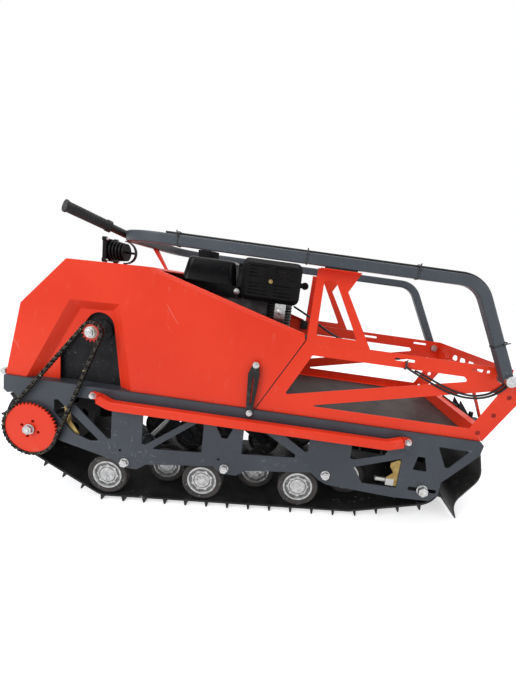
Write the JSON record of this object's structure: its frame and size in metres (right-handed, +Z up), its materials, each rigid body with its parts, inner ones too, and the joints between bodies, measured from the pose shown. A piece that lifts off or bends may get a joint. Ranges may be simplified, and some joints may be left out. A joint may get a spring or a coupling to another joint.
{
  "type": "tracked snow tug",
  "caption": "Small tracked snow tug with an engine under a folded-sheet hood, a chain-driven rubber track, a rear cargo rack and a U-shaped tow handle folded forward.",
  "frame": {"origin": "on the ground, below the middle of the overall box", "axes": "+X along the machine to its rear, +Y to its right side, +Z up"},
  "size_m": [1.79, 0.6922, 1.0035],
  "materials": {
    "black_metal": "satin",
    "black_plastic": "satin",
    "disc": "satin",
    "engine": "satin",
    "frame_grey": "satin",
    "lens": "gloss",
    "paint_red": "satin",
    "rubber": "matt",
    "steel": "satin",
    "tensioner": "satin",
    "tyre": "matt",
    "zinc": "satin"
  },
  "bodies": {
    "machine": {"side_plate_left": "frame_grey", "side_plate_right": "frame_grey", "deck": "frame_grey", "pivot_shafts": "steel", "bogies_left": "frame_grey", "bogies_right": "frame_grey", "wheel_discs_left": "disc", "wheel_discs_right": "disc", "wheel_tyres_left": "tyre", "wheel_tyres_right": "tyre", "track": "rubber", "drive_shaft": "steel", "drive_bearings": "engine", "rear_axle": "steel", "rear_idlers": "black_plastic", "tensioners": "tensioner", "driven_sprocket": "paint_red", "jackshaft": "steel", "chain": "steel", "jackshaft_plate": "black_metal", "hood": "paint_red", "hood_hinges": "zinc", "rack_side_left": "paint_red", "rack_side_right": "paint_red", "rear_panel": "paint_red", "rear_beam": "paint_red", "floor_mat": "rubber", "arm_rests": "paint_red", "rest_pads": "rubber", "guard_rail_left": "paint_red", "guard_rail_right": "paint_red", "engine_block": "engine", "engine_shroud": "black_plastic", "fuel_tank": "black_metal", "fuel_cap": "black_plastic", "muffler_guard": "black_metal", "muffler": "steel", "air_cleaner": "black_plastic", "lamp_bracket": "black_metal", "headlamp": "black_plastic", "lamp_lens": "lens", "hood_latches": "rubber", "handle_stay": "paint_red", "snow_flap": "rubber", "tow_hitch": "black_metal", "pivot_bolts": "zinc", "cable_loop": "rubber", "cable_loop_inner": "rubber", "engine_cable": "rubber"},
    "handle": {"tow_handle": "frame_grey", "grips": "rubber", "throttle_cable": "rubber"}
  },
  "joints": [
    {"name": "handle_swing", "type": "hinge", "parent": "machine", "child": "handle", "pos_m": [0.77057, 0, 0.54266], "axis": [0, 1, 0], "range_deg": [0, 150]}
  ]
}
